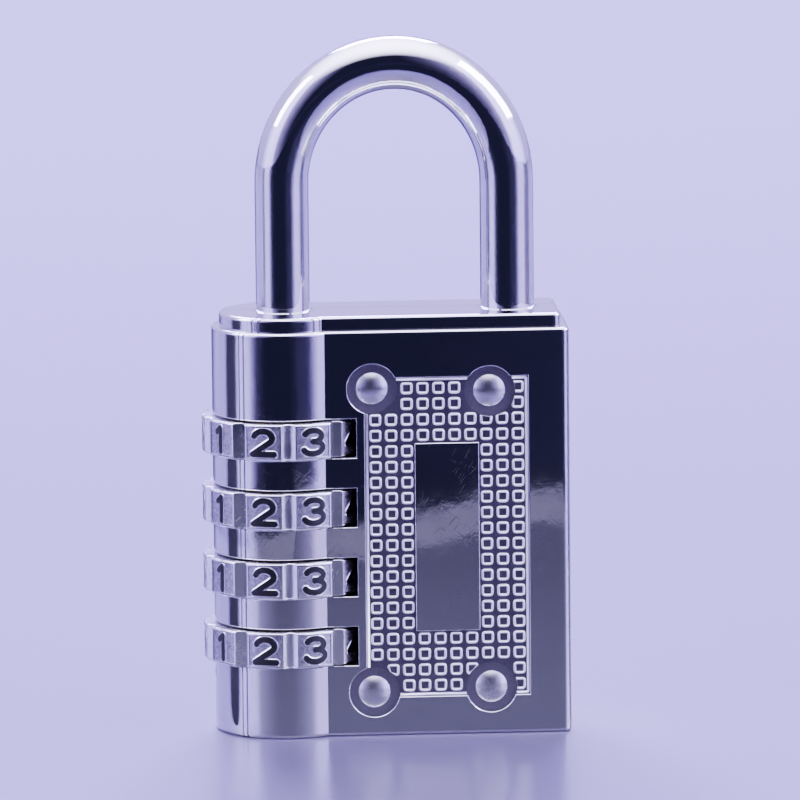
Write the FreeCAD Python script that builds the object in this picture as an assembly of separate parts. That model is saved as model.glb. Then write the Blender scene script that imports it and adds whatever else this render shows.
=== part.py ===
import FreeCAD, Part
import math
import os

# Combination padlock: die-cast two-shell case, four numbered dials beside a flat slab, and a
# round-wire shackle whose long leg runs down through the dials. Millimetres, +Z up, the front
# faces -Y. The origin is the centre of the bounding box, at the level the case stands on.

# Case: a column round the dial axis joined to a flat slab on its right
COLUMN_R = 7.35            # outside radius of the column
SLAB_HALF = 6.25           # half the slab's thickness
SLAB_END = 28.9            # slab's right face, from the dial axis
CORNER_R = 0.8             # slab's two right-hand vertical edges
LEDGE_Z = 41.9             # top of the main outline
TOP_Z = 43.3               # top of the raised step
STEP_INSET = 0.8           # how far the step stands in from the outline
EDGE_R = 0.35              # rounding of the cast edges
RIM_R = 0.12               # rounding round windows, recesses and plate
FLOOR_Z = 1.2              # inside bottom of the case
ROOF_Z = 40.3              # inside top of the slab
WALL = 1.5                 # slab wall
SEAM_Y = 1.0               # plane where the two shells meet
SEAM_W = 0.08              # fine groove that their rounded edges leave along the joint
SEAM_DEPTH = 0.15
AXIS_X = -10.225           # dial axis, in the part's frame
FLAT_FIT = 1e-6            # how closely an edge or face lies on a plane, to be picked for rounding
ROUND_FIT = 1e-3           # the same on a cylinder

# Dials and the code sleeves inside them
DIAL_COUNT = 4
DIGITS = 10
DIAL_TOP_Z = 30.85         # middle of the highest dial
DIAL_PITCH = 7.17          # from one dial to the next, and the shackle's lift
DIAL_R = 8.45
DIAL_H = 3.7
DIAL_BORE_R = 4.1
DIAL_EDGE_R = 0.2
FIELD_DEPTH = 0.1          # sunk field that each digit stands in
FIELD_H = 3.16
FIELD_ANGLE = 23.8
GRIP_HALF = 0.775          # half the mouth of a finger groove between two digits
GRIP_DEPTH = 0.62
GRIP_EDGE_R = 0.08
POCKET_R = 9.3             # round pocket each dial turns in
POCKET_H = 4.0
SLEEVE_R = 4.0
SLEEVE_H = 7.1
SLEEVE_COLLAR_H = 3.2      # upper part, closed but for the fin's slot
SLEEVE_BORE_R = 2.0
SLEEVE_GROOVE_R = 3.15     # lower part, where the fin waits
SLOT_W = 1.5
KEY_R = 4.55
KEY_W = 0.8
KEY_H = 2.4
BROACH_R = 4.65            # notches in the dial that take the sleeve's keys
BROACH_W = 0.95
STACK_BORE_R = 4.35        # case bore round the sleeves
STACK_TOP_Z = 34.6

# Shackle
WIRE_R = 2.75
LEG_SPACING = 23.0
ARCH_Z = 56.35             # where the straight legs end
ARCH_RISE = 12.3           # height of the wire's centre line over the legs
TOE_Z = 38.0               # tip of the short leg
TOE_CHAMFER = 0.5
SHOULDER_Z = 35.3          # the long leg narrows to its spindle here
SPINDLE_R = 1.9
SPINDLE_Z = 1.5
SPINDLE_BORE_R = 1.0
SPINDLE_BORE_TOP_Z = 14.6
FIN_R = 3.0
FIN_W = 1.2
FIN_H = 1.7
FIN_RISE = 2.0             # fin's underside, over the bottom of its sleeve
LEG_BORE_R = 2.85
LEG_BORE_Z = 39.2          # underside of the long leg's guide bore
FIN_ROOM_R = 3.35          # room over the sleeves for the lifted fin
TOE_BORE_R = 2.85
TOE_BORE_Z = 37.8
MOUTH_CHAMFER = 0.35

# Stop clip on the spindle's lower end
CLIP_Z = 1.8
CLIP_T = 0.5
CLIP_R = 3.0
CLIP_BORE_R = 1.5
CLIP_MOUTH = 2.0
CLIP_GROOVE_R = 1.45
CLIP_PLAY = 0.03

# Springs and washer
DETENT_ANGLE = 18.0        # grip groove that the detent spring's nose sits in
DETENT_LINE = ((10.5, -4.2), (9.75, -3.2), (9.75, -1.0), (8.25, 0.0), (9.75, 1.0), (9.75, 2.0))
DETENT_T = 0.3
DETENT_H = 3.0
DETENT_ROOM = (9.0, 10.7, -4.35, 2.15, 3.5)
RESET_R = 3.65
RESET_WIRE_R = 0.28
RESET_TURNS = 3
WASHER_R = 4.2
WASHER_BORE_R = 3.2
WASHER_Z = 5.27
WASHER_T = 0.4
LIFTER_R = 0.72
LIFTER_WIRE_R = 0.14
LIFTER_TURNS = 13
SPRING_GAP = 0.05

# Rivets, as (distance right of the dial axis, height)
RIVETS = ((8.68, 35.9), (20.68, 35.5), (8.68, 4.5), (20.68, 4.8))
RIVET_R = 1.4
RIVET_BORE_R = 1.45
RIVET_HEAD_R = 1.62
RIVET_HEAD_H = 0.6
RIVET_RIM_H = 0.12
SINK_R = 2.55              # ring-shaped recess round each rivet head
SINK_DEPTH = 0.7
BOSS_R = 3.2

# Slab inside and the panel on its front
CAVITY_LEFT = 12.2
TOE_BLOCK_LEFT = 18.6
TOE_BLOCK_Z = 36.6
PANEL_MID = 16.28
PANEL_MID_Z = 20.5
PANEL_W = 16.7
PANEL_H = 33.0
PANEL_DEPTH = 0.35
PLATE_W = 6.6              # smooth plate left standing in the panel
PLATE_H = 19.5
INDEX_W = 1.6              # index notches on the column, above and below the dials
INDEX_DEPTH = 0.45
INDEX_MARKS = ((34.15, 1.15), (5.55, 0.9))


def at(u, y, z):
    """Point given from the dial axis."""
    return FreeCAD.Vector(AXIS_X + u, y, z)


def cylinder(u, z, radius, height):
    return Part.makeCylinder(radius, height, at(u, 0, z))


def box(u0, u1, y0, y1, z0, z1):
    return Part.makeBox(u1 - u0, y1 - y0, z1 - z0, at(u0, y0, z0))


def dial_z(number):
    """Middle height of a dial, counted from the top."""
    return DIAL_TOP_Z - number * DIAL_PITCH


def turned(shape, degrees):
    """Copy turned about the dial axis."""
    copy = shape.copy()
    copy.rotate(at(0, 0, 0), FreeCAD.Vector(0, 0, 1), degrees)
    return copy


def outline(inset, z, height):
    """Prism of the case's plan: round column, flat slab, rounded right-hand edges."""
    radius = COLUMN_R - inset
    half = SLAB_HALF - inset
    end = SLAB_END - inset
    crease = math.sqrt(radius ** 2 - half ** 2)
    turn = CORNER_R * (1 - math.sqrt(0.5))
    edges = [
        Part.makeLine(at(crease, -half, z), at(end - CORNER_R, -half, z)),
        Part.Arc(at(end - CORNER_R, -half, z), at(end - turn, -half + turn, z),
                 at(end, -half + CORNER_R, z)).toShape(),
        Part.makeLine(at(end, -half + CORNER_R, z), at(end, half - CORNER_R, z)),
        Part.Arc(at(end, half - CORNER_R, z), at(end - turn, half - turn, z),
                 at(end - CORNER_R, half, z)).toShape(),
        Part.makeLine(at(end - CORNER_R, half, z), at(crease, half, z)),
        Part.Arc(at(crease, half, z), at(-radius, 0, z), at(crease, -half, z)).toShape(),
    ]
    return Part.Face(Part.Wire(edges)).extrude(FreeCAD.Vector(0, 0, height))


def level_edges(shape, levels):
    """Edges that lie flat at one of the given heights."""
    return [edge for edge in shape.Edges if is_level(edge) and at_level(edge.BoundBox.ZMin, levels)]


def is_level(edge):
    return edge.BoundBox.ZLength < FLAT_FIT


def at_level(height, levels):
    return any(abs(height - level) < FLAT_FIT for level in levels)


def rounded_outline():
    body = outline(0, 0, LEDGE_Z)
    body = body.makeFillet(EDGE_R, level_edges(body, (0, LEDGE_Z)))
    step = outline(STEP_INSET, LEDGE_Z - EDGE_R, TOP_Z - LEDGE_Z + EDGE_R)
    step = step.makeFillet(EDGE_R, level_edges(step, (TOP_Z,)))
    return body.fuse(step).removeSplitter()


def bore_mouth(u):
    """Lead-in cone at the top of a leg's bore."""
    return Part.makeCone(
        LEG_BORE_R, LEG_BORE_R + 2 * MOUTH_CHAMFER, 2 * MOUTH_CHAMFER, at(u, 0, TOP_Z - MOUTH_CHAMFER))


def dial_stack_space():
    """Bores on the dial axis, and the pockets the dials turn in."""
    parts = [
        cylinder(0, FLOOR_Z, STACK_BORE_R, STACK_TOP_Z - FLOOR_Z),
        cylinder(0, STACK_TOP_Z, FIN_ROOM_R, LEG_BORE_Z - STACK_TOP_Z),
        cylinder(0, LEG_BORE_Z, LEG_BORE_R, TOP_Z - LEG_BORE_Z),
        bore_mouth(0),
    ]
    for number in range(DIAL_COUNT):
        parts.append(cylinder(0, dial_z(number) - POCKET_H / 2, POCKET_R, POCKET_H))
        parts.append(detent_room(number))
    return parts


def detent_room(number):
    """Recess behind a dial for its detent spring."""
    near, far, low, high, height = DETENT_ROOM
    room = box(near, far, low, high, dial_z(number) - height / 2, dial_z(number) + height / 2)
    return turned(room, DETENT_ANGLE)


def slab_space():
    """Hollow of the slab, less the block round the toe and the rivet bosses."""
    inside = SLAB_HALF - WALL
    hollow = box(CAVITY_LEFT, SLAB_END - WALL, -inside, inside, WALL, ROOF_Z)
    block = box(TOE_BLOCK_LEFT, SLAB_END, -SLAB_HALF, SLAB_HALF, TOE_BLOCK_Z, TOP_Z)
    return hollow.cut([block] + [across(u, z, BOSS_R, -SLAB_HALF, SLAB_HALF) for u, z in RIVETS])


def toe_space():
    return cylinder(LEG_SPACING, TOE_BORE_Z, TOE_BORE_R, TOP_Z - TOE_BORE_Z).fuse(bore_mouth(LEG_SPACING))


def across(u, z, radius, y0, y1):
    """Cylinder running through the case from front to back."""
    return Part.makeCylinder(radius, y1 - y0, at(u, y0, z), FreeCAD.Vector(0, 1, 0))


def rivet_holes():
    holes = []
    for u, z in RIVETS:
        holes.append(across(u, z, RIVET_BORE_R, -SLAB_HALF, SLAB_HALF))
        holes.append(across(u, z, SINK_R, -SLAB_HALF, SINK_DEPTH - SLAB_HALF))
        holes.append(across(u, z, SINK_R, SLAB_HALF - SINK_DEPTH, SLAB_HALF))
    return holes


def front_panel():
    """Shallow rectangular field in the front face, with the smooth plate left in its middle."""
    def slab(width, height):
        return box(PANEL_MID - width / 2, PANEL_MID + width / 2, -SLAB_HALF, PANEL_DEPTH - SLAB_HALF,
                   PANEL_MID_Z - height / 2, PANEL_MID_Z + height / 2)
    return slab(PANEL_W, PANEL_H).cut(slab(PLATE_W, PLATE_H))


def index_notches():
    return [
        box(-COLUMN_R - INDEX_DEPTH, INDEX_DEPTH - COLUMN_R, -INDEX_W / 2, INDEX_W / 2, z, z + height)
        for z, height in INDEX_MARKS
    ]


def seam_groove():
    """Fine groove round the outside, where the two shells meet."""
    plate = box(-2 * COLUMN_R, 2 * SLAB_END, SEAM_Y - SEAM_W / 2, SEAM_Y + SEAM_W / 2, -WALL, 2 * TOP_Z)
    core = outline(SEAM_DEPTH, SEAM_DEPTH, LEDGE_Z - 2 * SEAM_DEPTH)
    step = outline(STEP_INSET + SEAM_DEPTH, WALL, TOP_Z - WALL - SEAM_DEPTH)
    return plate.cut([core, step])


def window_rims(shape):
    """Outer edges of the dial windows, on the column and on both faces of the slab."""
    levels = [dial_z(number) + side * POCKET_H / 2 for number in range(DIAL_COUNT) for side in (-1, 1)]
    rims = []
    for edge in shape.Edges:
        middle = mid_point(edge)
        on_column = abs(axis_distance(middle) - COLUMN_R) < ROUND_FIT
        on_slab = abs(abs(middle.y) - SLAB_HALF) < FLAT_FIT
        upright = abs(edge.BoundBox.ZLength - POCKET_H) < FLAT_FIT
        level = is_level(edge) and at_level(middle.z, levels)
        if (on_slab and (upright or level)) or (on_column and level):
            rims.append(edge)
    return rims


def mid_point(edge):
    return edge.valueAt((edge.FirstParameter + edge.LastParameter) / 2)


def axis_distance(point):
    """Distance of a point from the dial axis."""
    return math.hypot(point.x - AXIS_X, point.y)


def recess_rims(shape):
    """Rims of the recesses in the two flat faces, and the edge of the smooth plate."""
    rims = []
    for face in shape.Faces:
        bounds = face.BoundBox
        if bounds.YLength > FLAT_FIT or abs(abs(bounds.YMin) - SLAB_HALF) > FLAT_FIT:
            continue
        whole_side = bounds.ZLength > PANEL_H
        for wire in face.Wires:
            if not (whole_side and wire.isSame(face.OuterWire)):
                rims += wire.Edges
    return rims


def case_solid():
    spaces = dial_stack_space() + [slab_space(), toe_space(), front_panel()]
    case = rounded_outline().cut(spaces + rivet_holes() + index_notches())
    case = case.makeFillet(RIM_R, window_rims(case) + recess_rims(case))
    return case.cut(seam_groove())


def shell(case, y0, y1):
    """The part of the case between two planes parallel to the front."""
    half = case.common(box(-2 * COLUMN_R, 2 * SLAB_END, y0, y1, -WALL, 2 * TOP_Z))
    return max(half.Solids, key=lambda solid: solid.Volume)


def arch():
    """Half-ellipse bend of round wire between the two legs."""
    middle = at(LEG_SPACING / 2, 0, ARCH_Z)
    crown = at(LEG_SPACING / 2, 0, ARCH_Z + ARCH_RISE)
    curve = Part.Ellipse(crown, at(LEG_SPACING, 0, ARCH_Z), middle)
    path = Part.Arc(curve, -math.pi / 2, math.pi / 2).toShape()
    start = path.valueAt(path.FirstParameter)
    section = Part.makeCircle(WIRE_R, start, FreeCAD.Vector(0, 0, 1))
    return Part.Wire([path]).makePipeShell([Part.Wire([section])], True, False)


def fin(number):
    """Lug on the spindle that waits under a sleeve's collar."""
    z = dial_z(number) - SLEEVE_H / 2 + FIN_RISE
    lug = box(-FIN_R - FIN_W, -SPINDLE_R / 2, -FIN_W / 2, FIN_W / 2, z, z + FIN_H)
    return lug.common(cylinder(0, z, FIN_R, FIN_H))


def shackle():
    long_leg = cylinder(0, SHOULDER_Z, WIRE_R, ARCH_Z - SHOULDER_Z)
    spindle = cylinder(0, SPINDLE_Z, SPINDLE_R, SHOULDER_Z - SPINDLE_Z)
    toe = cylinder(LEG_SPACING, TOE_Z, WIRE_R, ARCH_Z - TOE_Z)
    toe = toe.makeChamfer(TOE_CHAMFER, level_edges(toe, (TOE_Z,)))
    solid = long_leg.fuse([spindle, toe, arch()] + [fin(number) for number in range(DIAL_COUNT)])
    bore = cylinder(0, SPINDLE_Z, SPINDLE_BORE_R, SPINDLE_BORE_TOP_Z - SPINDLE_Z)
    return solid.cut([bore, clip_groove()]).removeSplitter()


def clip_groove():
    height = CLIP_T + 2 * CLIP_PLAY
    ring = cylinder(0, CLIP_Z - CLIP_PLAY, FIN_R, height)
    return ring.cut(cylinder(0, CLIP_Z - CLIP_PLAY, CLIP_GROOVE_R, height))


def stop_clip():
    """Flat clip snapped on the spindle: it meets the lowest sleeve at full lift."""
    ring = cylinder(0, CLIP_Z, CLIP_R, CLIP_T).cut(cylinder(0, CLIP_Z, CLIP_BORE_R, CLIP_T))
    return ring.cut(box(0, 2 * CLIP_R, -CLIP_MOUTH / 2, CLIP_MOUTH / 2, CLIP_Z, CLIP_Z + CLIP_T))


def dial(number):
    """Number ring: finger grooves outside between the digits, notches inside for the sleeve."""
    z = dial_z(number) - DIAL_H / 2
    turns = [digit * 360 / DIGITS for digit in range(DIGITS)]
    ring = cylinder(0, z, DIAL_R, DIAL_H)
    ring = ring.makeFillet(DIAL_EDGE_R, level_edges(ring, (z, z + DIAL_H)))
    ring = ring.cut([turned(grip_groove(z), turn + DETENT_ANGLE) for turn in turns])
    ring = ring.makeFillet(GRIP_EDGE_R, [edge for edge in ring.Edges if groove_lip(edge)])
    notch = box(0, BROACH_R, -BROACH_W / 2, BROACH_W / 2, z, z + DIAL_H)
    cuts = [turned(notch, turn) for turn in turns] + [turned(digit_field(number), turn) for turn in turns]
    return ring.cut(cuts + [cylinder(0, z, DIAL_BORE_R, DIAL_H)])


def groove_lip(edge):
    """True for the upright edges where a finger groove meets the rim, but not for the cylinder's
    own closing edge, which lies at angle zero."""
    middle = mid_point(edge)
    on_rim = abs(axis_distance(middle) - DIAL_R) < ROUND_FIT
    return edge.BoundBox.ZLength > DIAL_H / 2 and on_rim and abs(middle.y) > FLAT_FIT


def digit_field(number):
    """Shallow sunk field for one digit, at angle zero."""
    z = dial_z(number) - FIELD_H / 2
    outer = Part.makeCylinder(
        DIAL_R + FIELD_DEPTH, FIELD_H, at(0, 0, z), FreeCAD.Vector(0, 0, 1), FIELD_ANGLE)
    outer = turned(outer, -FIELD_ANGLE / 2)
    return outer.cut(cylinder(0, z, DIAL_R - FIELD_DEPTH, FIELD_H))


def grip_groove(z):
    """V-shaped finger groove at angle zero, which runs on past the dial's rim."""
    corners = [
        at(DIAL_R - GRIP_DEPTH, 0, z),
        at(DIAL_R + GRIP_DEPTH, 2 * GRIP_HALF, z),
        at(DIAL_R + GRIP_DEPTH, -2 * GRIP_HALF, z),
    ]
    face = Part.Face(Part.makePolygon(corners + corners[:1]))
    return face.extrude(FreeCAD.Vector(0, 0, DIAL_H))


def code_sleeve(number):
    """Sleeve keyed inside a dial, slotted so that the fin passes only at the set digit."""
    z = dial_z(number) - SLEEVE_H / 2
    body = cylinder(0, z, SLEEVE_R, SLEEVE_H)
    key = box(-KEY_R, KEY_R, -KEY_W / 2, KEY_W / 2, dial_z(number) - KEY_H / 2, dial_z(number) + KEY_H / 2)
    wait = cylinder(0, z, SLEEVE_GROOVE_R, SLEEVE_H - SLEEVE_COLLAR_H)
    bore = cylinder(0, z, SLEEVE_BORE_R, SLEEVE_H)
    slot = box(-SLEEVE_GROOVE_R, 0, -SLOT_W / 2, SLOT_W / 2, z, z + SLEEVE_H)
    return body.fuse(key).cut([wait, bore, slot])


def strip(line, thickness, z, height):
    """Flat strip bent along a line of (distance, offset) points, with mitred bends."""
    points = [at(u, y, z) for u, y in line]
    runs = [(b - a).normalize() for a, b in zip(points, points[1:])]
    left, right = [], []
    for i, point in enumerate(points):
        before = runs[max(i - 1, 0)]
        after = runs[min(i, len(runs) - 1)]
        middle = (before + after).normalize()
        reach = thickness / 2 / middle.dot(after)
        side = FreeCAD.Vector(-middle.y, middle.x, 0) * reach
        left.append(point + side)
        right.append(point - side)
    corners = left + right[::-1]
    return Part.Face(Part.makePolygon(corners + corners[:1])).extrude(FreeCAD.Vector(0, 0, height))


def detent_spring(number):
    """Leaf whose nose rests in a finger groove and holds the dial on a digit."""
    leaf = strip(DETENT_LINE, DETENT_T, dial_z(number) - DETENT_H / 2, DETENT_H)
    return turned(leaf, DETENT_ANGLE)


def coil(radius, wire_r, z0, z1, turns):
    """Round-wire coil spring standing between two levels on the dial axis."""
    height = z1 - z0 - 2 * wire_r
    path = Part.makeHelix(height / turns, height, radius)
    section = Part.makeCircle(wire_r, FreeCAD.Vector(radius, 0, 0), FreeCAD.Vector(0, 1, 0))
    spring = Part.Wire(path.Edges).makePipeShell([Part.Wire([section])], True, True)
    spring.translate(at(0, 0, z0 + wire_r))
    return spring


def reset_spring():
    return coil(RESET_R, RESET_WIRE_R, FLOOR_Z, WASHER_Z - SPRING_GAP, RESET_TURNS)


def shackle_spring():
    return coil(LIFTER_R, LIFTER_WIRE_R, FLOOR_Z, SPINDLE_BORE_TOP_Z - SPRING_GAP, LIFTER_TURNS)


def thrust_washer():
    return cylinder(0, WASHER_Z, WASHER_R, WASHER_T).cut(cylinder(0, WASHER_Z, WASHER_BORE_R, WASHER_T))


def rivet_head(u, z, y, outward):
    """Low domed head standing on the floor of its recess."""
    direction = FreeCAD.Vector(0, outward, 0)
    rim = Part.makeCylinder(RIVET_HEAD_R, RIVET_RIM_H, at(u, y, z), direction)
    rise = RIVET_HEAD_H - RIVET_RIM_H
    ball_r = (RIVET_HEAD_R ** 2 + rise ** 2) / (2 * rise)
    ball = Part.makeSphere(ball_r, at(u, y + outward * (RIVET_HEAD_H - ball_r), z))
    cap = Part.makeCylinder(RIVET_HEAD_R, RIVET_HEAD_H, at(u, y, z), direction)
    return rim.fuse(cap.common(ball))


def rivet(u, z):
    floor = SLAB_HALF - SINK_DEPTH
    shank = across(u, z, RIVET_R, -floor, floor)
    return shank.fuse([rivet_head(u, z, -floor, -1), rivet_head(u, z, floor, 1)]).removeSplitter()


def nodes():
    case = case_solid()
    yield "front_shell", shell(case, -2 * SLAB_HALF, SEAM_Y)
    yield "rear_shell", shell(case, SEAM_Y, 2 * SLAB_HALF)
    yield "shackle", shackle()
    yield "stop_clip", stop_clip()
    for number in range(DIAL_COUNT):
        yield f"dial_{number + 1}", dial(number)
        yield f"code_sleeve_{number + 1}", code_sleeve(number)
        yield f"detent_spring_{number + 1}", detent_spring(number)
    yield "reset_spring", reset_spring()
    yield "thrust_washer", thrust_washer()
    yield "shackle_spring", shackle_spring()
    yield "rivets", Part.makeCompound([rivet(u, z) for u, z in RIVETS])


os.makedirs("parts", exist_ok=True)
for name, shape in nodes():
    shape.exportStep(f"parts/{name}.step")
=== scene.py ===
import math

import bpy
import numpy as np
from mathutils import Matrix, Vector


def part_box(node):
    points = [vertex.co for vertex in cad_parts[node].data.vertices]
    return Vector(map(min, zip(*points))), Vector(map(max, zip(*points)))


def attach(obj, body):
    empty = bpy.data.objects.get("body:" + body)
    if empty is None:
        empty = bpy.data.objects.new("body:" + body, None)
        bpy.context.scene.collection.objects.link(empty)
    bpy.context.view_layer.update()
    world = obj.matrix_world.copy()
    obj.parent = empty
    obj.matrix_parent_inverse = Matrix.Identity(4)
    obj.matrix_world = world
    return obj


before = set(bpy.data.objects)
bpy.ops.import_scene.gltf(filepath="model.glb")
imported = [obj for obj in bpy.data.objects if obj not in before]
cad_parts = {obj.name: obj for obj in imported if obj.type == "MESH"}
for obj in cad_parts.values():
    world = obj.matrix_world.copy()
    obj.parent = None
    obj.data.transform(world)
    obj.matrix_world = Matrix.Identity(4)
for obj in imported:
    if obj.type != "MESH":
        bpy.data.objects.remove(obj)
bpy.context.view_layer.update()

MM = 0.001
MICRON = 0.000001

# ---- Sizes that the part's source gives, in millimetres -------------------------------------
DIALS = ("dial_1", "dial_2", "dial_3", "dial_4")
low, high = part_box(DIALS[0])
AXIS_X = (low.x + high.x) / 2 / MM
DIAL_Z = [sum(corner.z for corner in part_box(name)) / 2 / MM for name in DIALS]
DIAL_R = 8.45
FIELD_R = 8.35            # floor of the sunk field behind a digit
FIELD_ANGLE = 23.8        # its width round the dial, in degrees
FIELD_H = 3.16
POCKET_R = (7.7, 9.6)     # the dial pockets lie between these distances from the axis,
POCKET_Y = 6.12           # this far to each side of it,
POCKET_Z = 2.6            # and this far past the middles of the end dials
PANEL_FLOOR = -5.9        # on Y: the sunk panel's floor
SINK_FLOOR = -5.55        # and the floor of a rivet's recess
PANEL_U = 16.28           # the panel's middle, from the dial axis
PANEL_Z = 20.5
PANEL_W = 16.7
PANEL_H = 33.0
SINKS = ((8.68, 35.9), (20.68, 35.5), (8.68, 4.5), (20.68, 4.8))    # recesses, from the dial axis
SINK_R = 2.55


# ---- Meshes ---------------------------------------------------------------------------------
def grid_quads(rows, columns, wrap_rows=False, wrap_columns=False):
    """Quads of a grid of points: each joins a point, the next in its row, and the two beside
    them in the next row. A wrapped direction joins its last points to its first."""
    i = np.arange(rows if wrap_rows else rows - 1)[:, None]
    j = np.arange(columns if wrap_columns else columns - 1)[None, :]
    after_i, after_j = (i + 1) % rows, (j + 1) % columns
    corners = [i * columns + j, after_i * columns + j, after_i * columns + after_j, i * columns + after_j]
    return np.stack([c + 0 * (i + j) for c in corners], axis=-1).reshape(-1, 4)


def make_piece(name, points, faces, material, body):
    """Mesh object from an array of points in millimetres and a list of faces, shaded smooth."""
    mesh = bpy.data.meshes.new(name)
    mesh.from_pydata((points * MM).tolist(), [], [list(face) for face in faces])
    mesh.polygons.foreach_set("use_smooth", np.ones(len(mesh.polygons), bool))
    mesh.materials.append(material)
    mesh.update()
    piece = bpy.data.objects.new(name, mesh)
    bpy.context.scene.collection.objects.link(piece)
    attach(piece, body)
    return piece


# ---- Materials ------------------------------------------------------------------------------
def colour(hex_code, share=1.0):
    """sRGB hex code to linear red, green, blue and full alpha, darkened to a share of its light."""
    srgb = np.array([int(hex_code[k:k + 2], 16) / 255 for k in (1, 3, 5)])
    linear = np.where(srgb <= 0.04045, srgb / 12.92, ((srgb + 0.055) / 1.055) ** 2.4)
    return (*(share * linear).tolist(), 1.0)


def add(tree, kind, inputs=None, **settings):
    """Adds one node: settings are its own properties, inputs are values or links for its sockets."""
    node = tree.nodes.new(kind)
    for key, value in settings.items():
        setattr(node, key, value)
    for socket, value in (inputs or {}).items():
        if isinstance(value, bpy.types.NodeSocket):
            tree.links.new(value, node.inputs[socket])
        else:
            node.inputs[socket].default_value = value
    return node


def new_material(name, metallic=0.0):
    """Empty material with its shader wired to the output, and its Object coordinates."""
    material = bpy.data.materials.new(name)
    material.use_nodes = True
    tree = material.node_tree
    tree.nodes.clear()
    shader = add(tree, "ShaderNodeBsdfPrincipled")
    shader.inputs["Metallic"].default_value = metallic
    add(tree, "ShaderNodeOutputMaterial", {"Surface": shader.outputs[0]})
    place = add(tree, "ShaderNodeTexCoord").outputs["Object"]
    return material, tree, shader, place


def link(tree, shader, **sockets):
    """Links outputs to the shader's sockets of the same names."""
    for name, output in sockets.items():
        tree.links.new(output, shader.inputs[name.replace("_", " ")])


def window(tree, value, low_edge, high_edge, soft):
    """1 where a value lies between two edges and 0 outside, changing over the soft width."""
    up = add(tree, "ShaderNodeMapRange", {0: value, 1: low_edge - soft, 2: low_edge + soft})
    down = add(tree, "ShaderNodeMapRange", {
        0: value, 1: high_edge - soft, 2: high_edge + soft, 3: 1.0, 4: 0.0})
    both = add(tree, "ShaderNodeMath", {0: up.outputs[0], 1: down.outputs[0]}, operation="MULTIPLY")
    return both.outputs[0]


def hairlines(tree, place, strength):
    """Handling marks: noise stretched 15 to 1 along three directions, 0.12 mm wide, which is a
    little coarser than real ones, and only in patches 9 mm across."""
    marks = []
    for turn, width in ((0.6, 0.12), (-0.9, 0.15), (2.2, 0.10)):
        turned = add(tree, "ShaderNodeMapping", {
            "Vector": place, "Rotation": (turn / 4, turn, turn / 3),
            "Scale": (1.8 * MM, 1.8 * MM, width * MM)}, vector_type="TEXTURE")
        line = add(tree, "ShaderNodeTexNoise", {"Vector": turned.outputs[0], "Scale": 1.0, "Detail": 1.0})
        mark = add(tree, "ShaderNodeMapRange", {0: line.outputs[0], 1: 0.68, 2: 0.76}).outputs[0]
        if marks:
            mark = add(tree, "ShaderNodeMath", {0: marks[-1], 1: mark}, operation="MAXIMUM").outputs[0]
        marks.append(mark)
    patch = add(tree, "ShaderNodeTexNoise", {"Vector": place, "Scale": 1 / (9 * MM), "Detail": 2.0})
    patch = add(tree, "ShaderNodeMapRange", {
        0: patch.outputs[0], 1: 0.5, 2: 0.7, 3: 0.0, 4: strength * 0.5})
    return add(tree, "ShaderNodeMath", {0: marks[-1], 1: patch.outputs[0]}, operation="MULTIPLY").outputs[0]


def as_cast(tree, place, tone, blur, floors):
    """Dull mottled grey, with a grain of 0.25 mm, on the floors that lie at set depths on Y, give or
    take 0.06 mm."""
    depth = add(tree, "ShaderNodeSeparateXYZ", {0: place}).outputs["Y"]
    grain = add(tree, "ShaderNodeTexNoise", {"Vector": place, "Scale": 1 / (0.25 * MM), "Detail": 4.0})
    for level, shade, dull in floors:
        inside = window(tree, depth, (level - 0.06) * MM, (level + 0.06) * MM, 0.01 * MM)
        mottled = add(tree, "ShaderNodeMix", {
            "Factor": grain.outputs[0], 6: colour(shade), 7: colour(shade, 0.6)}, data_type="RGBA")
        tone = add(tree, "ShaderNodeMix", {
            "Factor": inside, 6: tone, 7: mottled.outputs[2]}, data_type="RGBA").outputs[2]
        blur = add(tree, "ShaderNodeMix", {"Factor": inside, 2: blur, 3: dull}).outputs[0]
    return tone, blur


def painted_pocket_shade(tree, place, tone, blur):
    """Painted shade in the pockets round the dials: their walls are darkened to stand for the shade
    in these recesses, and dulled where the plating hardly reaches.
    """
    away = add(tree, "ShaderNodeVectorMath", {0: place, 1: (AXIS_X * MM, 0, 0)}, operation="SUBTRACT")
    flat = add(tree, "ShaderNodeVectorMath", {0: away.outputs[0], 1: (1, 1, 0)}, operation="MULTIPLY")
    radius = add(tree, "ShaderNodeVectorMath", {0: flat.outputs[0]}, operation="LENGTH").outputs["Value"]
    parts = add(tree, "ShaderNodeSeparateXYZ", {0: place})
    soft = 0.05 * MM
    inside = window(tree, radius, POCKET_R[0] * MM, POCKET_R[1] * MM, soft)
    for value, start, end in ((parts.outputs["Y"], -POCKET_Y, POCKET_Y),
                              (parts.outputs["Z"], min(DIAL_Z) - POCKET_Z, max(DIAL_Z) + POCKET_Z)):
        between = window(tree, value, start * MM, end * MM, soft)
        inside = add(tree, "ShaderNodeMath", {0: inside, 1: between}, operation="MULTIPLY").outputs[0]
    # painted shade: a near-black colour on the pocket walls, and a dull finish
    tone = add(tree, "ShaderNodeMix", {
        "Factor": inside, 6: tone, 7: colour("#26232C")}, data_type="RGBA").outputs[2]
    blur = add(tree, "ShaderNodeMix", {"Factor": inside, 2: blur, 3: 0.6}).outputs[0]
    return tone, blur


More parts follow.
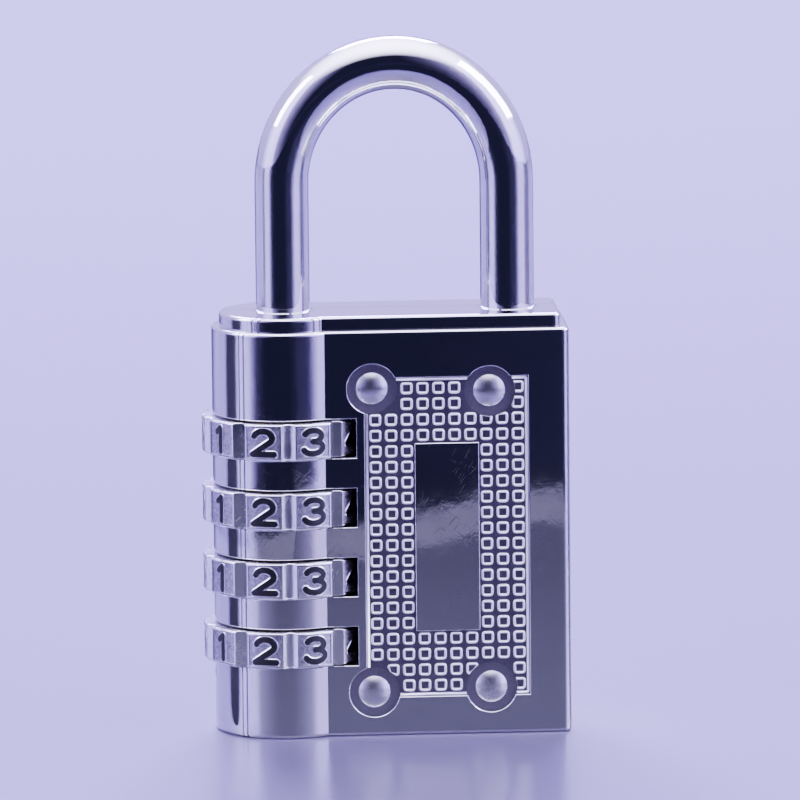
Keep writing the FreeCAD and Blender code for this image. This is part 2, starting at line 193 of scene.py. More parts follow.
def plated(name, tint, roughness, spread, wave_mm, wave_um, scratch, floors=(), pockets=False):
    """Polished chrome plate: tint is its colour, roughness and spread how sharp it mirrors and how
    much that varies, wave the buffed waviness, scratch the strength of handling marks."""
    material, tree, shader, place = new_material(name, metallic=1.0)
    # cloudy patches 3.5 mm across, left by buffing and handling
    cloud = add(tree, "ShaderNodeTexNoise", {
        "Vector": place, "Scale": 1 / (3.5 * MM), "Detail": 4.0, "Roughness": 0.6})
    scratches = hairlines(tree, place, scratch)
    blur = add(tree, "ShaderNodeMapRange", {
        0: cloud.outputs[0], 1: 0.3, 2: 0.75, 3: roughness, 4: roughness + spread})
    blur = add(tree, "ShaderNodeMath", {
        0: scratches, 1: 0.3, 2: blur.outputs[0]}, operation="MULTIPLY_ADD").outputs[0]
    tone = add(tree, "ShaderNodeMix", {
        "Factor": cloud.outputs[0], 6: colour(tint), 7: colour(tint, 0.86)}, data_type="RGBA").outputs[2]
    wave = add(tree, "ShaderNodeTexNoise", {
        "Vector": place, "Scale": 1 / (wave_mm * MM), "Detail": 5.0, "Roughness": 0.5})
    swell = add(tree, "ShaderNodeBump", {"Distance": wave_um * MICRON, "Height": wave.outputs[0]})
    score = add(tree, "ShaderNodeBump", {
        "Distance": 3 * MICRON, "Height": scratches, "Normal": swell.outputs[0]}, invert=True)
    if floors:
        tone, blur = as_cast(tree, place, tone, blur, floors)
    # painted shade darkens the walls of the dial pockets
    if pockets:
        tone, blur = painted_pocket_shade(tree, place, tone, blur)
    link(tree, shader, Base_Color=tone, Roughness=blur, Normal=score.outputs[0])
    return material


# Zinc die casting, polished and chrome plated: a dark mirror, its reflections slightly wavy, with
# cloudy patches and hairline scratches. The sunk panel and rivet recesses stay as cast, so they
# are dull grey.
# The walls of its dial pockets get painted shade: a near-black colour for the shade in them.
case_chrome = plated("chrome_plated_zinc_polished", "#C9C9CE", 0.022, 0.045, 2.4, 6.0, 1.0,
                     floors=((PANEL_FLOOR, "#6C6878", 0.40), (SINK_FLOOR, "#7A7684", 0.46)), pockets=True)
# Steel wire, ground, bent and plated: a clean, sharp mirror with few marks.
shackle_chrome = plated("chrome_plated_steel_wire", "#CFCFD4", 0.035, 0.04, 4.0, 2.0, 0.6)
# Dials as cast and plated: a softer mirror, worn on the grips.
dial_chrome = plated("chrome_plated_zinc_dial", "#D2D2D8", 0.15, 0.14, 0.9, 9.0, 0.8)
# Raised lines of the panel, as cast and plated: rounded and a little grainy. Their near-white tint,
# far lighter than the case's chrome, is a painted highlight that makes the lines read bright.
relief_chrome = plated("chrome_plated_zinc_relief", "#F2F0F6", 0.44, 0.10, 0.6, 4.0, 0.3)
# Domed rivet heads, headed cold and plated: a satin mirror.
rivet_steel = plated("plated_steel_rivet_headed", "#C4C4C8", 0.19, 0.12, 0.8, 8.0, 0.6)


def machined(name, tint, roughness, band_mm, along):
    """Bare metal with fine rings or drawing lines a set distance apart along one axis."""
    material, tree, shader, place = new_material(name, metallic=1.0)
    squeeze = [1 / (3 * MM)] * 3
    squeeze[along] = 1 / (band_mm * MM)
    lined = add(tree, "ShaderNodeMapping", {"Vector": place, "Scale": squeeze})
    lines = add(tree, "ShaderNodeTexNoise", {"Vector": lined.outputs[0], "Scale": 1.0, "Detail": 2.0})
    stain = add(tree, "ShaderNodeTexNoise", {"Vector": place, "Scale": 1 / (2 * MM), "Detail": 3.0})
    tone = add(tree, "ShaderNodeMix", {
        "Factor": stain.outputs[0], 6: colour(tint), 7: colour(tint, 0.7)}, data_type="RGBA")
    blur = add(tree, "ShaderNodeMapRange", {0: lines.outputs[0], 3: roughness, 4: roughness + 0.2})
    score = add(tree, "ShaderNodeBump", {"Distance": 4 * MICRON, "Height": lines.outputs[0]})
    link(tree, shader, Base_Color=tone.outputs[2], Roughness=blur.outputs[0], Normal=score.outputs[0])
    return material


# Free-cutting brass, turned: warm, with fine tool rings 0.15 mm apart.
sleeve_brass = machined("brass_turned", "#C9A25A", 0.22, 0.15, 2)
# Spring steel strip and wire, drawn: grey and bright with fine lines.
spring_steel = machined("spring_steel_drawn", "#A8A8AC", 0.2, 0.1, 1)
# Mild steel, stamped: plain grey with a faint grain.
washer_steel = machined("mild_steel_stamped", "#B4B4B6", 0.3, 0.4, 0)


def painted_dial():
    """Cast digits: black enamel on the raised strokes, bright plated slopes beside them, and a
    mottled grey field behind, told apart by the piece's own paint and field attributes."""
    material, tree, shader, place = new_material("black_enamel_on_cast_zinc")
    paint = add(tree, "ShaderNodeAttribute", attribute_name="paint").outputs["Fac"]
    field = add(tree, "ShaderNodeAttribute", attribute_name="field").outputs["Fac"]
    # the enamel's edge wanders a little and shows tiny chips about 0.2 mm across
    chips = add(tree, "ShaderNodeTexNoise", {"Vector": place, "Scale": 1 / (0.2 * MM), "Detail": 3.0})
    edge = add(tree, "ShaderNodeMath", {0: chips.outputs[0], 1: 0.5, 2: paint}, operation="MULTIPLY_ADD")
    paint = add(tree, "ShaderNodeMapRange", {0: edge.outputs[0], 1: 1.03, 2: 1.15}).outputs[0]
    # cast grain of 0.3 mm, with dirt in its hollows
    grain = add(tree, "ShaderNodeTexNoise", {
        "Vector": place, "Scale": 1 / (0.3 * MM), "Detail": 5.0, "Roughness": 0.7})
    dirt = add(tree, "ShaderNodeMapRange", {0: grain.outputs[0], 1: 0.35, 2: 0.65})
    grey = add(tree, "ShaderNodeMix", {
        "Factor": dirt.outputs[0], 6: colour("#6E6C7C"), 7: colour("#B0AEBC")}, data_type="RGBA")
    metal = add(tree, "ShaderNodeMix", {
        "Factor": field, 6: colour("#D4D4DA"), 7: grey.outputs[2]}, data_type="RGBA")
    tone = add(tree, "ShaderNodeMix", {
        "Factor": paint, 6: metal.outputs[2], 7: colour("#060609")}, data_type="RGBA")
    bare = add(tree, "ShaderNodeMath", {0: 1.0, 1: paint}, operation="SUBTRACT")
    blur = add(tree, "ShaderNodeMapRange", {0: field, 3: 0.14, 4: 0.4})
    blur = add(tree, "ShaderNodeMix", {"Factor": paint, 2: blur.outputs[0], 3: 0.32})
    rise = add(tree, "ShaderNodeBump", {"Distance": 12 * MICRON, "Height": grain.outputs[0]})
    link(tree, shader, Base_Color=tone.outputs[2], Metallic=bare.outputs[0], Roughness=blur.outputs[0],
         Normal=rise.outputs[0])
    return material


digit_paint = painted_dial()

for node, material in {
    "front_shell": case_chrome, "rear_shell": case_chrome, "shackle": shackle_chrome,
    "stop_clip": spring_steel, "reset_spring": spring_steel, "shackle_spring": spring_steel,
    "thrust_washer": washer_steel, "rivets": rivet_steel,
    **{f"dial_{n}": dial_chrome for n in range(1, 5)},
    **{f"code_sleeve_{n}": sleeve_brass for n in range(1, 5)},
    **{f"detent_spring_{n}": spring_steel for n in range(1, 5)},
}.items():
    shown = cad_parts[node]
    shown.data.materials.clear()
    shown.data.materials.append(material)


# ---- Relief of the panel --------------------------------------------------------------------
CELL = 1.62               # from one ring to the next
COLUMNS, ROWS = 10, 20
RING_HALF = 0.495         # from a ring's centre to the middle of its line
RING_TURN = 0.19          # corner radius at the middle of the line
LINE = np.array([(-0.155, -0.05), (-0.135, 0.13), (-0.07, 0.26), (0.0, 0.30),
                 (0.07, 0.26), (0.135, 0.13), (0.155, -0.05)])    # across a raised line, and its height
RING_POINTS = 12          # profiles round a ring, three to a corner
PLATE_COLUMNS = (3, 6)    # the smooth plate takes these columns and rows
PLATE_ROWS = (4, 15)
CLEAR = 0.1               # gap between the relief and a rivet's recess
CUT_AWAY = 0.55           # a ring with this share of its points in a recess is left out
BORDER_IN = 0.18          # from the panel's edge to the middle of its border ridge


def off_sinks(u, z):
    """Points nearer a rivet's recess than its radius move straight out to its rim, and a mask says
    which ones did."""
    moved = np.zeros(u.shape, bool)
    for centre_u, centre_z in SINKS:
        du, dz = u - centre_u, z - centre_z
        distance = np.hypot(du, dz)
        inside = distance < SINK_R + CLEAR
        reach = np.where(inside, (SINK_R + CLEAR) / np.maximum(distance, 1e-6), 1.0)
        u, z = centre_u + du * reach, centre_z + dz * reach
        moved |= inside
    return u, z, moved


def panel_points(u, z, height):
    """Points on the panel: across, up, and how far out from its floor."""
    return np.stack([AXIS_X + u, PANEL_FLOOR - height, z + 0 * u], axis=-1)


def ring_frames():
    """Rounded square rings on a grid. A ring is the line's profile carried round a square path: at
    each corner it turns a quarter circle, so a point lies at the corner's centre plus the turn
    radius and the profile's offset, in the direction of the turn."""
    i, j = np.meshgrid(np.arange(COLUMNS), np.arange(ROWS), indexing="ij")
    on_plate = (i >= PLATE_COLUMNS[0]) & (i <= PLATE_COLUMNS[1])
    on_plate &= (j >= PLATE_ROWS[0]) & (j <= PLATE_ROWS[1])
    centre_u = PANEL_U + (i - (COLUMNS - 1) / 2) * CELL
    centre_z = PANEL_Z - (j - (ROWS - 1) / 2) * CELL
    centre_u, centre_z = centre_u[~on_plate], centre_z[~on_plate]
    corner = np.repeat(np.arange(4), 3)
    angle = np.radians(corner * 90 + np.tile((0, 45, 90), 4))
    mid = RING_HALF - RING_TURN
    corner_u = mid * np.array((1, -1, -1, 1))[corner]
    corner_z = mid * np.array((1, 1, -1, -1))[corner]
    reach = RING_TURN + LINE[None, :, 0]
    u = centre_u[:, None, None] + corner_u[None, :, None] + (reach * np.cos(angle)[:, None])[None]
    z = centre_z[:, None, None] + corner_z[None, :, None] + (reach * np.sin(angle)[:, None])[None]
    u, z, moved = off_sinks(u, z)
    whole = moved.mean(axis=(1, 2)) < CUT_AWAY
    u, z = u[whole], z[whole]
    height = np.broadcast_to(LINE[None, None, :, 1], u.shape)
    points = panel_points(u, z, height)
    quads = grid_quads(RING_POINTS, len(LINE), wrap_rows=True, wrap_columns=True)
    starts = np.arange(len(u))[:, None, None] * RING_POINTS * len(LINE)
    return points.reshape(-1, 3), (quads[None] + starts).reshape(-1, 4)


def ridge(path, width=0.36, height=0.3):
    """A rounded ridge along a path: the line's profile, scaled to the ridge, is set out square to
    the path's direction at each point, and each end is closed by one face."""
    path = np.array(path, float)
    step = np.gradient(path, axis=0)
    step /= np.linalg.norm(step, axis=1)[:, None]
    side = np.stack([step[:, 1], -step[:, 0]], axis=1)
    across = LINE[:, 0] * width / (2 * LINE[:, 0].max())
    rise = LINE[:, 1] * height / LINE[:, 1].max()
    u = path[:, None, 0] + side[:, None, 0] * across
    z = path[:, None, 1] + side[:, None, 1] * across
    points = panel_points(u, z, np.broadcast_to(rise, u.shape)).reshape(-1, 3)
    quads = grid_quads(len(path), len(LINE), wrap_columns=True)
    first = list(range(len(LINE)))[::-1]
    last = [len(points) - 1 - k for k in range(len(LINE))][::-1]
    return points, [list(q) for q in quads] + [first, last]


def bent(*corners, turn=0.2):
    """Path through corners, each rounded by a quarter circle of the turn radius."""
    corners = np.array(corners, float)
    path = [corners[0]]
    for before, here, after in zip(corners, corners[1:], corners[2:]):
        back = (before - here) / np.linalg.norm(before - here)
        on = (after - here) / np.linalg.norm(after - here)
        centre = here + (back + on) * turn
        angle = np.radians(np.linspace(0, 90, 5))[:, None]
        path += list(centre - on * turn * np.cos(angle) - back * turn * np.sin(angle))
    return path + [corners[-1]]


def border_paths():
    """The ridge inside the panel's edge, broken where the rivet recesses cut it."""
    left, right = PANEL_U - PANEL_W / 2 + BORDER_IN, PANEL_U + PANEL_W / 2 - BORDER_IN
    bottom, top = PANEL_Z - PANEL_H / 2 + BORDER_IN, PANEL_Z + PANEL_H / 2 - BORDER_IN

    def gap(sink, across):
        """Half the length that a recess cuts from a line passing at this distance."""
        return math.sqrt((SINK_R + CLEAR) ** 2 - (across - sink) ** 2)

    (au, az), (bu, bz), (cu, cz), (du, dz) = SINKS
    return [
        bent((au + gap(az, top), top), (bu - gap(bz, top), top)),
        bent((bu + gap(bz, top), top), (right, top), (right, bottom), (du + gap(dz, bottom), bottom)),
        bent((du - gap(dz, bottom), bottom), (cu + gap(cz, bottom), bottom)),
        bent((left, cz + gap(cu, left)), (left, az - gap(au, left))),
    ]


points, faces = ring_frames()
faces = [list(face) for face in faces]
for path in border_paths():
    more, extra = ridge(path)
    faces += [[k + len(points) for k in face] for face in extra]
    points = np.concatenate([points, more])
make_piece("panel_relief", points, faces, relief_chrome, "case")


# ---- Digits on the dials --------------------------------------------------------------------
PAINTED = 0.27            # half the width of a digit's painted middle
LIP = 0.34                # from a stroke's centre line to the crest of its bright lip
FOOT = 0.44               # and to the foot of the lip's outer slope
STROKE_RISE = (0.07, 0.065, 0.098, 0.0)    # height over the field: middle, painted edge, lip, foot
WIDEN = 1.2               # the digits are broad
FIELD_LIFT = 0.008        # tile's surface over the dial's own field
TILE_GAP = 0.04           # how much smaller a tile is than its field
TILE_STEP = 0.05
TILE_DEPTH = 0.12         # how far a tile's rim goes down into the dial


def arc(cx, cy, rx, ry, start, end, count=14):
    """Points of an elliptical arc from one angle to another."""
    angle = np.radians(np.linspace(start, end, count))
    return np.stack([cx + rx * np.cos(angle), cy + ry * np.sin(angle)], axis=1)


def digit_lines(digit):
    """Centre lines of a digit's strokes, in millimetres from its middle."""
    six = [np.concatenate([arc(0.55, -0.3, 1.37, 1.5, 82, 180, 12),
                           arc(0.02, -0.45, 0.84, 0.75, 180, -180, 26)])]
    two_foot = np.array([(-0.9, -1.18), (0.95, -1.18)])
    five_neck = np.array([(0.78, 1.18), (-0.58, 1.18), (-0.7, 0.12)])
    lines = {
        0: [arc(0, 0, 0.84, 1.2, 0, 360, 30)],
        1: [np.array([(-0.42, 0.72), (0.08, 1.18), (0.08, -1.2)])],
        2: [np.concatenate([arc(0.02, 0.5, 0.8, 0.7, 165, -32, 16), two_foot])],
        3: [np.concatenate([arc(-0.04, 0.61, 0.78, 0.59, 155, -90, 16),
                            arc(-0.04, -0.56, 0.88, 0.63, 90, -158, 18)])],
        4: [np.array([(0.4, -1.2), (0.4, 1.18), (-0.92, -0.5), (0.95, -0.5)])],
        5: [np.concatenate([five_neck, arc(-0.02, -0.42, 0.86, 0.77, 128, -150, 18)])],
        6: six,
        7: [np.array([(-0.85, 1.18), (0.88, 1.18), (-0.25, -1.2)])],
        8: [arc(0, 0.6, 0.68, 0.58, 0, 360, 24), arc(0, -0.58, 0.84, 0.62, 0, 360, 26)],
        9: [-line for line in six],
    }
    return [line * (WIDEN, 1) for line in lines[digit]]


def stroke_distance(s, t, lines):
    """Distance of each point of a grid from the nearest stroke centre line, with its slope."""
    starts = np.concatenate([line[:-1] for line in lines])
    ends = np.concatenate([line[1:] for line in lines])
    point = np.stack([s, t], axis=-1)[..., None, :]
    run = ends - starts
    share = ((point - starts) * run).sum(-1) / np.maximum((run ** 2).sum(-1), 1e-12)
    gap = point - (starts + np.clip(share, 0, 1)[..., None] * run)
    distance = np.linalg.norm(gap, axis=-1)
    nearest = distance.argmin(-1)[..., None]
    close = np.take_along_axis(distance, nearest, -1)[..., 0]
    away = np.take_along_axis(gap, nearest[..., None], -2)[..., 0, :]
    return close, away / np.maximum(close, 1e-9)[..., None]


def digit_tile(digit, centre_z):
    """One digit standing in its field. The tile is a grid of arc length and height bent round the
    dial. Each point's radius is the field's, plus the stroke height where it lies within a stroke,
    falling off along the slope; points close to the stroke's edge or foot are moved onto it. The
    rim is carried inwards and closed at one middle point."""
    wide = math.radians(FIELD_ANGLE) * DIAL_R - TILE_GAP
    tall = FIELD_H - TILE_GAP
    columns, rows = int(wide / TILE_STEP) + 1, int(tall / TILE_STEP) + 1
    s, t = np.meshgrid(np.linspace(-wide / 2, wide / 2, columns),
                       np.linspace(-tall / 2, tall / 2, rows), indexing="ij")
    distance, away = stroke_distance(s, t, digit_lines(digit))
    inner = np.zeros(s.shape, bool)
    inner[1:-1, 1:-1] = True
    for level in (PAINTED, LIP, FOOT):
        near = inner & (np.abs(distance - level) < TILE_STEP / 2)
        shift = np.where(near, level - distance, 0.0)
        s, t = s + away[..., 0] * shift, t + away[..., 1] * shift
        distance = np.where(near, level, distance)
    share = np.clip((FOOT - distance) / (FOOT - PAINTED), 0, 1)
    rise = np.interp(distance, (0, PAINTED, LIP, FOOT), STROKE_RISE)
    radius = FIELD_R + FIELD_LIFT + rise * (DIAL_R - FIELD_R - FIELD_LIFT) / (DIAL_R - FIELD_R)
    rim = np.concatenate([
        np.arange(columns) * rows, (columns - 1) * rows + np.arange(1, rows),
        np.arange(columns - 2, -1, -1) * rows + rows - 1, np.arange(rows - 2, 0, -1)])
    s, t, radius, share = (np.concatenate([a.ravel(), a.ravel()[rim], [0.0]]) for a in (s, t, radius, share))
    count = columns * rows
    radius[count:] = FIELD_R - TILE_DEPTH
    share[count:] = 0
    angle = math.radians(180 + 36 * digit) + s / DIAL_R
    points = np.stack([AXIS_X + radius * np.cos(angle), radius * np.sin(angle), centre_z + t], axis=1)
    quads = grid_quads(columns, rows)
    after = np.roll(rim, -1)
    below = count + np.arange(len(rim))
    below_after = np.roll(below, -1)
    walls = np.stack([after, rim, below, below_after], axis=1)
    floor = np.stack([below_after, below, np.full(len(rim), count + len(rim))], axis=1)
    return points, quads.tolist() + walls.tolist() + floor.tolist(), share


for name, centre_z in zip(DIALS, DIAL_Z):
    points, faces, paint = np.zeros((0, 3)), [], np.zeros(0)
    for digit in range(10):
        more, extra, share = digit_tile(digit, centre_z)
        faces += [[k + len(points) for k in face] for face in extra]
        points = np.concatenate([points, more])
        paint = np.concatenate([paint, share])
    piece = make_piece(f"{name}_digits", points, faces, digit_paint, name)
    piece.data.attributes.new("paint", "FLOAT", "POINT").data.foreach_set("value", paint.astype(np.float32))
    field = (paint <= 0).astype(np.float32)
    piece.data.attributes.new("field", "FLOAT", "POINT").data.foreach_set("value", field)


# ---- Camera ---------------------------------------------------------------------------------
def aim_camera(azimuth, elevation, roll, distance, lens, target):
    """Camera on a sphere round the target, looking at it, turned about its own line of sight."""
    a, e, r = (math.radians(value) for value in (azimuth, elevation, roll))
    back = Vector((math.sin(a) * math.cos(e), -math.cos(a) * math.cos(e), math.sin(e)))
    right = Vector((math.cos(a), math.sin(a), 0))
    up = back.cross(right)
    x = right * math.cos(r) + up * math.sin(r)
    y = up * math.cos(r) - right * math.sin(r)
    camera = bpy.data.objects.new("camera", bpy.data.cameras.new("camera"))
    camera.data.lens = lens
    turn = Matrix((x, y, back)).transposed().to_4x4()
    camera.matrix_world = Matrix.Translation(Vector(target) + back * distance) @ turn
    bpy.context.scene.collection.objects.link(camera)
    bpy.context.scene.camera = camera


aim_camera(azimuth=-3.44, elevation=9.0, roll=-0.555, distance=1.0, lens=439.0,
           target=(1.69 * MM, 0.0, 33.755 * MM))


# ---- Floor, cards and light -----------------------------------------------------------------
REACH = 12.0              # half the floor's width, in metres, as all places from here on
FLOOR_GLOSS = 0.22        # roughness of the floor, and of the table that the cards stand for
FAR = 6.0                 # where the cards that cover the rest of the floor end
ROUND = 48                # corners of a card's outline


def stage_piece(name, points, faces, material):
    """Part of the studio, from points in metres."""
    mesh = bpy.data.meshes.new(name)
    mesh.from_pydata([tuple(p) for p in points], [], faces)
    mesh.materials.append(material)
    made = bpy.data.objects.new(name, mesh)
    bpy.context.scene.collection.objects.link(made)
    return made


# Satin paper sweep: pale, with a soft gloss that shows at a low angle.
floor_material, _, shader, _ = new_material("paper_sweep_satin")
shader.inputs["Base Color"].default_value = colour("#9C98AD")
shader.inputs["Roughness"].default_value = FLOOR_GLOSS
stage_piece("floor", [(-REACH, -REACH, 0), (REACH, -REACH, 0), (REACH, REACH, 0), (-REACH, REACH, 0)],
            [(0, 1, 2, 3)], floor_material)


def ramp(tree, factor, stops):
    """Colour along a ramp with stops given as (position, linear colour)."""
    node = add(tree, "ShaderNodeValToRGB", {0: factor})
    band = node.color_ramp
    band.interpolation = "LINEAR"
    while len(band.elements) > 1:
        band.elements.remove(band.elements[-1])
    for k, (position, value) in enumerate(stops):
        element = band.elements[0] if k == 0 else band.elements.new(position)
        element.position = position
        element.color = (*value, 1)
    return node.outputs["Color"]


def bearing(tree, vector):
    """Compass bearing of a direction or place, as a share of a turn: 0.5 is straight ahead of the
    lock's front, and it grows towards its right."""
    parts = add(tree, "ShaderNodeSeparateXYZ", {0: vector})
    ahead = add(tree, "ShaderNodeMath", {0: parts.outputs[1], 1: -1.0}, operation="MULTIPLY")
    angle = add(tree, "ShaderNodeMath", {0: parts.outputs[0], 1: ahead.outputs[0]}, operation="ARCTAN2")
    share = add(tree, "ShaderNodeMath", {
        0: angle.outputs[0], 1: 1 / (2 * math.pi), 2: 0.5}, operation="MULTIPLY_ADD")
    return share.outputs[0], parts


def hiding(tree, share, cover):
    """Ramp from bearing to how much is hidden there."""
    stops = [(0.5 + degrees / 360, (part, part, part)) for degrees, part in ((-180, cover[0][1]), *cover)]
    return ramp(tree, share, stops)


# Tones, linear: the open room ahead, the table's front edge, the far side of the room.
ROOM_DARK = (0.019, 0.019, 0.060)
TABLE_EDGE = (0.36, 0.31, 0.58)
FAR_SIDE = (0.30, 0.25, 0.50)
# How much of the bright studio each bearing hides, in degrees right of straight ahead of the front:
# the open room beyond the table, its softer sight in the table's gloss, the table's shade and front
# edge, flags on both sides, and the room behind. WALLS says where the sky is brighter instead.
ROOM = ((-62, 0.0), (-54, 0.70), (-48, 0.91), (-42, 0.96), (-34, 1.0), (4, 1.0), (12, 0.975),
        (21, 0.92), (29, 0.94), (37, 0.84), (46, 0.45), (54, 0.0))
GLOSS_ROOM = ((-66, 0.0), (-52, 0.15), (-45, 0.38), (-36, 0.64), (-26, 0.87), (-16, 1.0), (6, 1.0),
              (14, 0.92), (24, 0.76), (33, 0.50), (42, 0.20), (50, 0.0))
SHADE = ((-66, 0.0), (-56, 1.0), (72, 1.0), (84, 0.0))
EDGE = ((-60, 0.0), (-44, 0.9), (-30, 1.0), (20, 1.0), (40, 0.6), (52, 0.0))
FLAG = ((-113, 0.0), (-106, 0.97), (-88, 0.97), (-81, 0.0))
FAR_FLAG = ((-97, 0.0), (-92, 0.8), (-84, 0.8), (-78, 0.0), (96, 0.0), (99, 0.75), (105, 0.75), (109, 0.0))
BACK = ((-180, 1.0), (-158, 0.9), (-138, 0.0), (74, 0.0), (83, 0.75), (97, 0.75), (106, 0.0),
        (138, 0.0), (158, 0.9), (180, 1.0))
WALLS = ((-105, 0.0), (-80, 1.0), (-52, 1.0), (-46, 0.0), (38, 0.0), (48, 1.0), (78, 1.0), (105, 0.0))


def card_material(name):
    """Empty material for a card, with its Object coordinates."""
    material = bpy.data.materials.new(name)
    material.use_nodes = True
    tree = material.node_tree
    tree.nodes.clear()
    return material, tree, add(tree, "ShaderNodeTexCoord").outputs["Object"]


def finish_card(tree, hidden, glow):
    """Glows where it hides the studio and is clear elsewhere."""
    clear = add(tree, "ShaderNodeBsdfTransparent")
    mix = add(tree, "ShaderNodeMixShader", {0: hidden, 1: clear.outputs[0], 2: glow.outputs[0]})
    add(tree, "ShaderNodeOutputMaterial", {"Surface": mix.outputs[0]})


def place_card(name, points, faces, material):
    """Puts a card up so that only mirror-bright faces see it."""
    card = stage_piece(name, points.tolist(), faces, material)
    card.visible_camera = card.visible_diffuse = False
    card.visible_shadow = card.visible_transmission = False


def circle(radius, height):
    """Corners of a level circle: radius times cosine and sine of even steps of angle."""
    angle = np.radians(np.arange(ROUND) * 360 / ROUND)
    return np.stack([radius * np.cos(angle), radius * np.sin(angle), np.full(ROUND, height)], axis=1)


def floor_card(name, cover, near, far, tones, height, grazing=False, centre=(0.0, 0.0), gloss=0.0,
               lean=0.0):
    """Flag lying just over the floor, seen only from above: a ring between two distances, glowing
    from one tone to another with distance, and clear where nothing is hidden. A grazing one fades
    when seen steeply, gloss adds a blurred mirror like the table's, and lean brings the ring's near
    edge closer on the left than on the right."""
    material, tree, place = card_material(name)
    place = add(tree, "ShaderNodeVectorMath", {0: place, 1: (*centre, 0)}, operation="SUBTRACT").outputs[0]
    share, parts = bearing(tree, place)
    distance = add(tree, "ShaderNodeVectorMath", {0: place}, operation="LENGTH").outputs["Value"]
    slope = add(tree, "ShaderNodeMapRange", {0: parts.outputs[0], 1: 4 * MM, 2: 25 * MM, 3: lean, 4: -lean})
    distance = add(tree, "ShaderNodeMath", {0: distance, 1: slope.outputs[0]}, operation="ADD").outputs[0]
    reach = add(tree, "ShaderNodeMapRange", {0: distance, 1: near, 2: min(far, 4 * near + 0.1)})
    tone = add(tree, "ShaderNodeMix", {
        "Factor": reach.outputs[0], 6: (*tones[0], 1), 7: (*tones[1], 1)}, data_type="RGBA")
    glow = add(tree, "ShaderNodeEmission", {"Color": tone.outputs[2]})
    if gloss:
        mirror = add(tree, "ShaderNodeBsdfGlossy", {
            "Color": (gloss, gloss, gloss, 1), "Roughness": FLOOR_GLOSS})
        glow = add(tree, "ShaderNodeAddShader", {0: glow.outputs[0], 1: mirror.outputs[0]})
    edge = add(tree, "ShaderNodeMapRange", {0: distance, 1: near, 2: near * 1.015})
    back = add(tree, "ShaderNodeNewGeometry").outputs["Backfacing"]
    front = add(tree, "ShaderNodeMath", {0: 1.0, 1: back}, operation="SUBTRACT")
    limits = [edge, front]
    if grazing:
        slant = add(tree, "ShaderNodeLayerWeight", {"Blend": 0.5}).outputs["Facing"]
        limits.append(add(tree, "ShaderNodeMapRange", {0: slant, 1: 0.45, 2: 0.72}))
    hidden = hiding(tree, share, cover)
    for limit in limits:
        hidden = add(tree, "ShaderNodeMath", {
            0: hidden, 1: limit.outputs[0]}, operation="MULTIPLY").outputs[0]
    finish_card(tree, hidden, glow)
    points = np.concatenate([circle(near * 0.9, height), circle(far, height)])
    points[:, :2] += centre
    here, after = np.arange(ROUND), np.roll(np.arange(ROUND), -1)
    faces = np.stack([here, here + ROUND, after + ROUND, after], axis=1).tolist()
    place_card(name, points, faces, material)


# The side flags fan out from where the column mirrors them, on its left front.
COLUMN_MIRROR = ((AXIS_X - 5.5) * MM, -5.0 * MM)
EDGE_LEAN = 0.0125        # the table's edge isn't quite square to the lock's front
floor_card("back_card", BACK, 0.004, FAR, ((0.60, 0.50, 1.20), (0.10, 0.09, 0.24)), 0.0002)
floor_card("table_shade_card", SHADE, 0.001, 0.140, ((0.165, 0.147, 0.325), (0.072, 0.064, 0.145)), 0.0004,
           grazing=True, gloss=0.42)
floor_card("table_edge_card", EDGE, 0.120, 0.170, (TABLE_EDGE, TABLE_EDGE), 0.0006, grazing=True,
           lean=EDGE_LEAN)
floor_card("dark_room_card", ROOM, 0.141, FAR, (ROOM_DARK, ROOM_DARK), 0.0008, lean=EDGE_LEAN)
floor_card("left_flag_card", FLAG, 0.0006, 0.290, ((0.06, 0.05, 0.11), (0.05, 0.045, 0.10)), 0.0010,
           centre=COLUMN_MIRROR)
floor_card("far_flag_card", FAR_FLAG, 0.291, FAR, (FAR_SIDE, FAR_SIDE), 0.0012, centre=COLUMN_MIRROR)


def ceiling_card(height=1.2, reach=1.75):
    """White ceiling panel over the lock, a disc that is brightest in the middle and thins out to
    nothing at its rim."""
    material, tree, place = card_material("ceiling_card")
    flat = add(tree, "ShaderNodeVectorMath", {0: place, 1: (1, 1, 0)}, operation="MULTIPLY").outputs[0]
    distance = add(tree, "ShaderNodeVectorMath", {0: flat}, operation="LENGTH").outputs["Value"]
    full = add(tree, "ShaderNodeMapRange", {0: distance, 1: 0.1, 2: reach, 3: 1.0, 4: 0.0},
               interpolation_type="SMOOTHSTEP")
    glow = add(tree, "ShaderNodeEmission", {"Color": (1.0, 0.92, 1.35, 1), "Strength": 10.5})
    finish_card(tree, full.outputs[0], glow)
    place_card("ceiling_card", circle(reach, height), [list(range(ROUND - 1, -1, -1))], material)


ceiling_card()


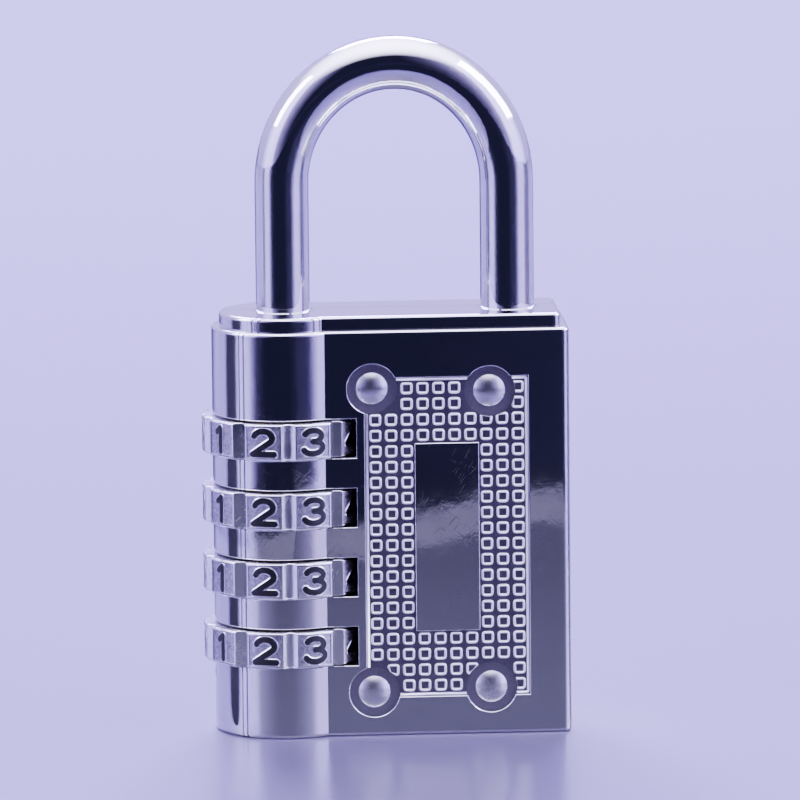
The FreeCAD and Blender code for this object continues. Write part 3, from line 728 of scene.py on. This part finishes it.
def build_world():
    """Sky of the studio: pale all round, brighter at the side walls, dark over the open room ahead.
    It lights the floor evenly and weakly, so that the key light behind casts a soft shadow."""
    world = bpy.data.worlds.new("studio")
    bpy.context.scene.world = world
    world.use_nodes = True
    tree = world.node_tree
    tree.nodes.clear()
    way = add(tree, "ShaderNodeTexCoord").outputs["Generated"]
    share, parts = bearing(tree, way)
    up = parts.outputs[2]
    sky = ramp(tree, up, [(0.0, (1.12, 0.86, 2.40)), (0.45, (1.5, 1.2, 3.0)), (1.0, (1.8, 1.5, 3.4))])
    wall = add(tree, "ShaderNodeMath", {
        0: hiding(tree, share, WALLS), 1: 1.6, 2: 1.0}, operation="MULTIPLY_ADD")
    lit = add(tree, "ShaderNodeVectorMath", {
        0: sky, "Scale": wall.outputs[0]}, operation="SCALE")
    # the dark sector of GLOSS_ROOM ends between 50 and 62 degrees up
    low_part = add(tree, "ShaderNodeMapRange", {0: up, 1: 0.76, 2: 0.88, 3: 1.0, 4: 0.0})
    cover = add(tree, "ShaderNodeMath", {
        0: hiding(tree, share, GLOSS_ROOM), 1: low_part.outputs[0]}, operation="MULTIPLY")
    seen = add(tree, "ShaderNodeMix", {
        "Factor": cover.outputs[0], 6: lit.outputs[0], 7: (*ROOM_DARK, 1)}, data_type="RGBA")
    soft = add(tree, "ShaderNodeLightPath").outputs["Is Diffuse Ray"]
    shown = add(tree, "ShaderNodeMix", {
        "Factor": soft, 6: seen.outputs[2], 7: (0.55, 0.46, 1.10, 1)}, data_type="RGBA")
    back = add(tree, "ShaderNodeBackground", {"Color": shown.outputs[2], "Strength": 1.0})
    add(tree, "ShaderNodeOutputWorld", {"Surface": back.outputs[0]})


build_world()


def softbox(name, place, aim, size, watts, hex_code, lights_floor=True):
    """Rectangular area light at a place, facing a point. One that doesn't light the floor shows in
    mirrors alone."""
    light = bpy.data.lights.new(name, "AREA")
    light.shape = "RECTANGLE"
    light.size, light.size_y = size
    light.energy = watts
    light.color = colour(hex_code)[:3]
    made = bpy.data.objects.new(name, light)
    made.location = place
    made.rotation_euler = (Vector(aim) - Vector(place)).to_track_quat("-Z", "Y").to_euler()
    made.visible_diffuse = lights_floor
    bpy.context.scene.collection.objects.link(made)


softbox("key_behind", (0.0, 0.75, 0.70), (0, 0.05, 0.0), (0.6, 0.35), 53.0, "#AB95FF")
softbox("box_left", (-0.75, -0.05, 0.55), (0, 0, 0.06), (0.30, 0.45), 9.0, "#F4F0FF", lights_floor=False)
softbox("box_right", (0.80, -0.05, 0.62), (0, 0, 0.06), (0.60, 0.60), 26.0, "#F4F0FF", lights_floor=False)
